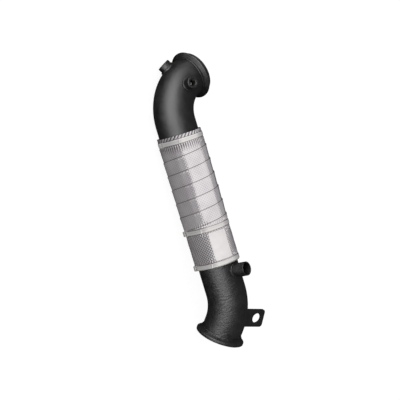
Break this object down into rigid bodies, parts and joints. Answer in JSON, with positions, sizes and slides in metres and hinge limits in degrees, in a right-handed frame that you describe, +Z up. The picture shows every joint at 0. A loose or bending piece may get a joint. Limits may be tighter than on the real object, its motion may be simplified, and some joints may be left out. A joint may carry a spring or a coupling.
{
  "type": "turbo downpipe",
  "caption": "Bent exhaust downpipe for a turbo engine, with clamp flanges at its ends, sensor bungs, a side port, a bracket, and a spiral foil heat shield held by steel bands on its straight run.",
  "frame": {"origin": "centre of the root of the inlet spigot, where it meets the front slope of the inlet flange", "axes": "+Z up with the pipe lying on a floor; +X along the pipe from its outlet end to its inlet end; +Y completes the right hand"},
  "size_m": [0.5626, 0.1499, 0.1285],
  "materials": {
    "satin_black": "satin high-temperature coating",
    "band_steel": "stainless strip",
    "embossed_foil": "fine embossing",
    "label_foil": "smooth",
    "fibre_blanket": "matt fibre"
  },
  "bodies": {
    "root": {"bent_tube": "satin_black", "inlet_flange": "satin_black", "outlet_flange": "satin_black", "inlet_weld": "satin_black", "outlet_weld": "satin_black", "front_sensor_bung": "satin_black", "front_bung_weld": "satin_black", "rear_sensor_bung": "satin_black", "rear_bung_weld": "satin_black", "side_port": "satin_black", "side_port_weld": "satin_black", "mounting_bracket": "satin_black", "bracket_weld": "satin_black", "insulation_blanket": "fibre_blanket", "lower_foil_sleeve": "embossed_foil", "upper_foil_wrap": "embossed_foil", "blank_label": "label_foil", "top_band_strap": "band_steel", "top_band_buckle": "band_steel", "top_band_ball": "band_steel", "middle_band_strap": "band_steel", "middle_band_buckle": "band_steel", "middle_band_ball": "band_steel", "bottom_band_strap": "band_steel", "bottom_band_buckle": "band_steel", "bottom_band_ball": "band_steel"}
  },
  "joints": []
}
